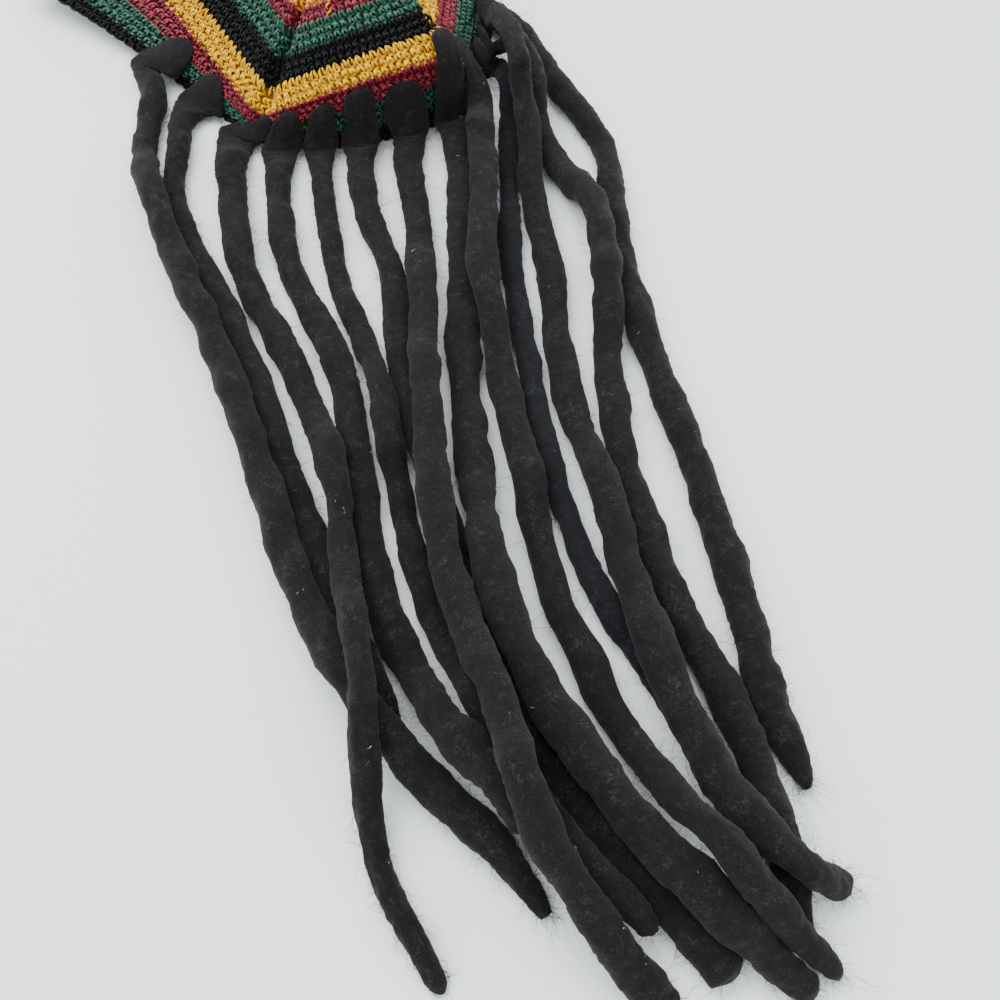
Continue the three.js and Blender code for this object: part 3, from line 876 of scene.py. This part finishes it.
def alongPath(values, at, knots):
    # smooth curve through the rows of values: cubic between knots, with each slope from its neighbours
    slopes = np.gradient(values, knots, axis=0)
    index = np.clip(np.searchsorted(knots, at) - 1, 0, len(knots) - 2)
    span = (knots[index + 1] - knots[index])[:, None]
    t = (at - knots[index])[:, None] / span
    return ((2 * t**3 - 3 * t**2 + 1) * values[index] + (t**3 - 2 * t**2 + t) * span * slopes[index]
            + (-2 * t**3 + 3 * t**2) * values[index + 1] + (t**3 - t**2) * span * slopes[index + 1])


def softNoise(points, size, seed, waves=20):
    # sum of plane waves in seeded directions, each about one size long, scaled to run about -1 to 1
    random = np.random.default_rng(seed)
    directions = unit(random.normal(size=(waves, 3))) * (2 * np.pi / size) * random.uniform(0.7, 1.4, (waves, 1))
    phases = random.uniform(0, 2 * np.pi, waves)
    return np.sin(points @ directions.T + phases).sum(axis=-1) / math.sqrt(waves) * 1.2


def sewnTongue(name, centre, wide, thin, at):
    # The upper end lies flat on the crown: its centre runs up the fabric from rim to top, its width is a
    # round-topped tongue that widens to the rim, and past the rim it blends into the round lock.
    rimPlace, topPlace, topRound, upper, lower, leaveRound, leaveAt = lockSeats[name]
    felt = tongueFelt
    foot = crownPoint(np.array([rimPlace]), np.array([leaveRound / crownShape["rounds"]]), 0.0)[0]
    near = at < felt["footWithin"]
    footAt = leaveAt if leaveAt > 0 else at[near][np.argmin(np.linalg.norm(centre[near] - foot, axis=1))]
    share = np.clip(at / footAt, 0, 1)
    place = mix(topPlace, rimPlace, share)
    depth = mix(topRound, leaveRound, share) / crownShape["rounds"]
    out, down, around = crownFrame(place, depth)
    reach = np.linalg.norm(foot - crownPoint(place[:1], depth[:1], 0.0)[0])
    fromTop = np.clip(share * reach / (upper * felt["topLength"]), 0.01, 1)
    roundTop = np.sqrt(1 - (1 - fromTop) ** 2)
    halfWidth = mix(upper, lower, share ** felt["widen"]) * roundTop
    crease = np.exp(-((share - felt["creasePlace"]) / felt["creaseLength"]) ** 2)
    halfThick = mix(felt["upper"], felt["lower"], share ** felt["thicken"])
    halfThick = halfThick * roundTop ** felt["topThin"] * (1 - felt["crease"] * crease)
    height = felt["height"] + halfThick * mix(felt["liftTop"], felt["liftRim"], share**2)
    seated = crownPoint(place, depth, height)
    joined = np.abs(at - footAt) < felt["joinBefore"]
    wideSign = np.sign((around[joined] * wide[joined]).sum())
    thinSign = np.sign((out[joined] * thin[joined]).sum())
    joinStart, joinEnd = footAt - felt["joinBefore"], footAt + felt["joinAfter"]
    if name in lockBridges:
        length, rise = lockBridges[name]
        joinStart, joinEnd = footAt * bridgeStart, footAt + length
        arch = np.sin(np.pi * np.clip(at / joinEnd, 0, 1))[:, None] * (0.0, 0.0, rise)
        held = np.maximum(np.arange(len(at)), np.searchsorted(at, joinEnd))
        centre, wide, thin = centre[held] + arch, wide[held], thin[held]
        seated = seated + arch
    free = smoothStep(joinStart, joinEnd, at)[:, None]
    seatedWide = around * (halfWidth * wideSign)[:, None]
    seatedThin = out * (halfThick * thinSign)[:, None]
    return mix(seated, centre, free), mix(seatedWide, wide, free), mix(seatedThin, thin, free)


def endShare(name, left):
    # width near the tip over the solid's own: between a point, the square root of the way left, and a
    # blunt end, the half circle of it
    pointed = np.sqrt(np.clip(left / lockSizes["tipTaper"], lockSizes["tipLeast"], 1))
    blunt = np.sqrt(1 - (1 - np.clip(left / lockSizes["bluntEnd"], lockSizes["bluntLeast"], 1)) ** 2)
    return mix(pointed ** lockSizes["tipPoint"], blunt, lockEnds[name][0]) / pointed


def lockSurface(name, seed):
    # centre line, section vectors and distances of a lock at close rings, which lie closer at both ends
    centres, wides, thins = nodeRings(name)
    knots = np.concatenate([[0], np.cumsum(np.linalg.norm(np.diff(centres, axis=0), axis=1))])
    length = knots[-1]
    even = np.linspace(0, 1, lockSizes["rings"])
    at = length * (even - lockSizes["crowding"] * np.sin(2 * np.pi * even) / (2 * np.pi))
    centre = alongPath(centres, at, knots)
    size = endShare(name, length - at)
    random = np.random.default_rng(seed + seeds["pinch"])
    for pinch in range(lockSizes["pinches"]):
        middle = random.uniform(*lockSizes["pinchPlaces"]) * length
        depth = lockSizes["pinchDepth"] * random.uniform(*lockSizes["pinchShares"])
        reach = lockSizes["pinchLength"] * random.uniform(*lockSizes["pinchStretch"])
        size = size * (1 - depth * np.exp(-((at - middle) / reach) ** 2))
    wide = alongPath(wides, at, knots) * (lockSizes["swell"] * size)[:, None]
    thin = alongPath(thins, at, knots) * (lockSizes["swell"] * size)[:, None]
    centre, wide, thin = sewnTongue(name, centre, wide, thin, at)
    return {"name": name, "centre": centre, "wide": wide, "thin": thin, "at": at}


def lockPoints(line, angle, seed):
    # ring point = centre + cos a wide + sin a thin, swollen by lumps and by ridges that wind along it
    at = line["at"][:, None]
    base = (line["centre"][:, None] + np.cos(angle)[None, :, None] * line["wide"][:, None]
            + np.sin(angle)[None, :, None] * line["thin"][:, None])
    away = base - line["centre"][:, None]
    radius = np.linalg.norm(away, axis=-1, keepdims=True)
    random = np.random.default_rng(seed)
    ridges = np.zeros((len(line["at"]), len(angle)))
    for count in lockSizes["ridgeCounts"]:
        pitch = random.uniform(-1, 1) * 2 * np.pi / lockSizes["ridgePitch"]
        phase = random.uniform(0, 2 * np.pi)
        slow = 0.6 + 0.4 * np.sin(at / random.uniform(*lockSizes["ridgeFade"]) + phase)
        ridges += np.cos(count * angle[None] + pitch * at * count + phase) * slow / count**0.5
    lumps = softNoise(base, lockSizes["lumpSize"], seed) * lockSizes["lumpShare"] * radius[..., 0]
    small = softNoise(base, lockSizes["smallSize"], seed + seeds["small"]) * lockSizes["small"]
    fade = np.minimum(radius[..., 0] / lockSizes["fullRadius"], 1)
    swell = (lumps + ridges * lockSizes["ridge"] + small) * fade
    return base + unit(away) * swell[..., None]


def makeLock(line, seed, material):
    # a closed tube through the lock's rings, turned so that its faces look outward
    sides = lockSizes["sides"]
    angle = np.arange(sides) / sides * 2 * np.pi
    points = lockPoints(line, angle, seed)
    points[..., 2] = np.maximum(points[..., 2], lockSizes["floor"])
    rings = len(points)
    middles = points.mean(axis=1)
    first = middles[0] + (middles[0] - middles[1]) * 0.5
    last = middles[-1] + (middles[-1] - middles[-2]) * 0.5
    allPoints = np.concatenate([points.reshape(-1, 3), first[None], last[None]])
    ring, side, quads, caps = tubeFaces(rings, sides)
    uPart = np.stack([ring, ring, ring + 1, ring + 1], axis=1)
    vPart = np.stack([side, side + 1, side + 1, side], axis=1)
    heading = line["centre"][1] - line["centre"][0]
    if np.dot(np.cross(line["wide"][0], line["thin"][0]), heading) < 0:
        quads, caps, uPart, vPart = (rows[:, ::-1] for rows in (quads, caps, uPart, vPart))
    quadUvs = np.stack([line["at"][uPart], vPart / sides + seed * 3], axis=-1)
    capUvs = np.full(caps.shape + (2,), seed * 3.0)
    lock = meshFrom(line["name"] + "_felt", allPoints, [quads, caps],
                    [quadUvs.reshape(-1, 2), capUvs.reshape(-1, 2)], material)
    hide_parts(line["name"])


lockLines = []
for lockIndex, lockName in enumerate(lockNames):
    lockLine = lockSurface(lockName, lockIndex)
    lockLines.append(lockLine)
    makeLock(lockLine, seeds["felt"] + lockIndex, felts["blueFelt" if lockName == "lock_10" else "darkFelt"])
print("locks felted")


# Loose fibres that stand off the felt
fuzzSizes = {
    "perLock": 1000,
    "segments": 5,
    "short": 1.5,
    "long": 8.5,
    "stretch": (0.5, 1.3),
    "width": 0.18,
    "taper": 0.7,
    "root": 0.97,
    "outward": (0.25, 1.0),
    "ahead": (0.3, 0.7),
    "stray": 0.35,
    "bend": 0.3,
    "curl": 0.22,
    "turns": 1.1,
    "floor": 0.08,
}
# Wisps at the tips, which root and aim some rings before the last and fan out nearly flat
wispSizes = {
    "width": 0.12,
    "rootRings": 4,
    "aimRings": 6,
    "girthRings": 8,
    "roots": 0.35,
    "stretch": (0.35, 1.15),
    "flat": (1.0, 1.0, 0.35),
    "bend": 0.28,
    "flatBend": (1.0, 1.0, 0.3),
}
# Pale lint caught in the felt
lintSizes = {
    "perLock": 22,
    "short": 0.6,
    "long": 2.2,
    "width": 0.22,
    "root": 1.03,
    "bend": 0.2,
    "grain": 300.0,
    "stops": ((0.35, (90, 84, 82)), (0.65, (205, 200, 196))),
    "roughness": 0.9,
}


def ribbonMesh(name, bases, headings, bends, lengths, widths, material):
    # Thin curling ribbons: point at share s = base + length (s heading + s squared bend) plus a curl that
    # winds round the heading and opens with s; the width falls to the tip
    random = np.random.default_rng(len(bases))
    segments = fuzzSizes["segments"]
    share = np.linspace(0, 1, segments + 1)[None, :, None]
    flat = unit(np.cross(unit(headings), unit(random.normal(size=bases.shape))))
    square = np.cross(unit(headings), flat)
    turn = share * 2 * np.pi * fuzzSizes["turns"] * random.uniform(-1, 1, (len(bases), 1, 1))
    curl = (np.sin(turn) * flat[:, None] + (1 - np.cos(turn)) * square[:, None]) * fuzzSizes["curl"]
    run = share * headings[:, None] + share**2 * bends[:, None] + curl
    path = bases[:, None] + lengths[:, None, None] * run
    half = widths[:, None, None] / 2 * (1 - fuzzSizes["taper"] * share) * flat[:, None]
    points = np.stack([path - half, path + half], axis=2)
    points[..., 2] = np.maximum(points[..., 2], fuzzSizes["floor"])
    step = np.arange(segments) * 2
    quads = np.stack([step, step + 1, step + 3, step + 2], axis=1)
    offset = (np.arange(len(bases)) * (segments + 1) * 2)[:, None, None]
    faces = (quads[None] + offset).reshape(-1, 4)
    return meshFrom(name, points.reshape(-1, 3), [faces], [np.zeros((faces.size, 2))], material)


def lintMaterial():
    # pale specks, some greyer than others
    material, nodes, links, shader = newMaterial("paleLint")
    place = nodes.new("ShaderNodeTexCoord").outputs["Object"]
    noise = noiseNode(nodes, links, place, lintSizes["grain"])
    stops = [(position, linear(*dye)) for position, dye in lintSizes["stops"]]
    links.new(rampNode(nodes, links, noise, stops), shader.inputs["Base Color"])
    shader.inputs["Roughness"].default_value = lintSizes["roughness"]
    return material


def ontoFelt(line, count, root, random):
    # places on a lock for some fibres: their ring, the way out of the felt and their roots
    ring = random.integers(2, len(line["at"]) - 1, count)
    angle = random.uniform(0, 2 * np.pi, count)
    out = np.cos(angle)[:, None] * line["wide"][ring] + np.sin(angle)[:, None] * line["thin"][ring]
    return ring, out, line["centre"][ring] + out * root


def fuzzFibres(line, random):
    # base, heading, bend, length and width of each fibre that stands off the felt
    size, count = fuzzSizes, fuzzSizes["perLock"]
    ring, out, bases = ontoFelt(line, count, size["root"], random)
    ahead = unit(np.gradient(line["centre"], axis=0))[ring]
    outward = unit(out) * random.uniform(*size["outward"], (count, 1))
    onward = ahead * random.normal(*size["ahead"], (count, 1))
    headings = unit(outward + onward + random.normal(0, size["stray"], (count, 3)))
    bends = random.normal(0, size["bend"], (count, 3))
    lengths = random.uniform(size["short"], size["long"], count) * random.uniform(*size["stretch"], count)
    return bases, headings, bends, lengths, np.full(count, size["width"])


def wispFibres(line, random):
    # the same for the wisp at the lock's tip
    hairs, hairLength, spread = lockEnds[line["name"]][1:]
    last = len(line["at"]) - 1
    onward = unit(line["centre"][last] - line["centre"][last - wispSizes["aimRings"]])
    girth = np.linalg.norm(line["wide"][last - wispSizes["girthRings"]])
    roots = random.normal(0, wispSizes["roots"], (hairs, 3)) * girth
    bases = line["centre"][last - wispSizes["rootRings"]] + roots
    fan = unit(onward + random.normal(0, spread, (hairs, 3)) * wispSizes["flat"])
    bends = random.normal(0, wispSizes["bend"], (hairs, 3)) * wispSizes["flatBend"]
    lengths = hairLength * random.uniform(*wispSizes["stretch"], hairs)
    return bases, fan, bends, lengths, np.full(hairs, wispSizes["width"])


def lintFibres(line, random):
    # the same for the pale lint, which lies along the felt
    count = lintSizes["perLock"]
    ring, out, bases = ontoFelt(line, count, lintSizes["root"], random)
    headings = unit(np.cross(out, random.normal(size=(count, 3))))
    lengths = random.uniform(lintSizes["short"], lintSizes["long"], count)
    bends = random.normal(0, lintSizes["bend"], (count, 3))
    return bases, headings, bends, lengths, np.full(count, lintSizes["width"])


def makeFuzz():
    paleLint = lintMaterial()
    for index, line in enumerate(lockLines):
        random = np.random.default_rng(seeds["fibres"] + index)
        fibres = [np.concatenate(pair) for pair in zip(fuzzFibres(line, random), wispFibres(line, random))]
        fuzz = ribbonMesh(line["name"] + "_fuzz", *fibres, felts["darkFelt"])
        lint = ribbonMesh(line["name"] + "_lint", *lintFibres(line, random), paleLint)
        for piece in (fuzz, lint):
            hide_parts(line["name"])


makeFuzz()
print("fuzz raised")


# Floor and light
floorSetup = {"size": 6.0, "colour": linear(245, 249, 250), "roughness": 0.8}
lightSetup = {
    "sky": (0.88, 0.935, 0.96, 1.0),
    "world": 1.9,
    "key": 32.0,
    "keySize": 1.6,
    "keyPlace": (-0.5, 0.5, 1.5),
}


def makeFloor():
    # one square in metres, staged under the part
    half = floorSetup["size"] / 2
    points = [(-half, -half, 0), (half, -half, 0), (half, half, 0), (-half, half, 0)]
    material, nodes, links, shader = newMaterial("paleFloor")
    shader.inputs["Base Color"].default_value = floorSetup["colour"]
    shader.inputs["Roughness"].default_value = floorSetup["roughness"]
    mesh = bpy.data.meshes.new("floor")
    mesh.from_pydata(points, [], [(0, 1, 2, 3)])
    mesh.materials.append(material)
    floor = bpy.data.objects.new("floor", mesh)
    bpy.context.scene.collection.objects.link(floor)


def makeLights():
    # an even sky and one broad light over the crown's left side
    world = bpy.data.worlds.new("softRoom")
    bpy.context.scene.world = world
    world.use_nodes = True
    backdrop = world.node_tree.nodes["Background"]
    backdrop.inputs[0].default_value = lightSetup["sky"]
    backdrop.inputs[1].default_value = lightSetup["world"]
    data = bpy.data.lights.new("keyLight", "AREA")
    data.energy = lightSetup["key"]
    data.size = lightSetup["keySize"]
    light = bpy.data.objects.new("keyLight", data)
    bpy.context.scene.collection.objects.link(light)
    light.location = lightSetup["keyPlace"]
    toward = -light.location.normalized()
    light.rotation_euler = toward.to_track_quat("-Z", "Y").to_euler()


makeFloor()
makeLights()
print("floor and light set")
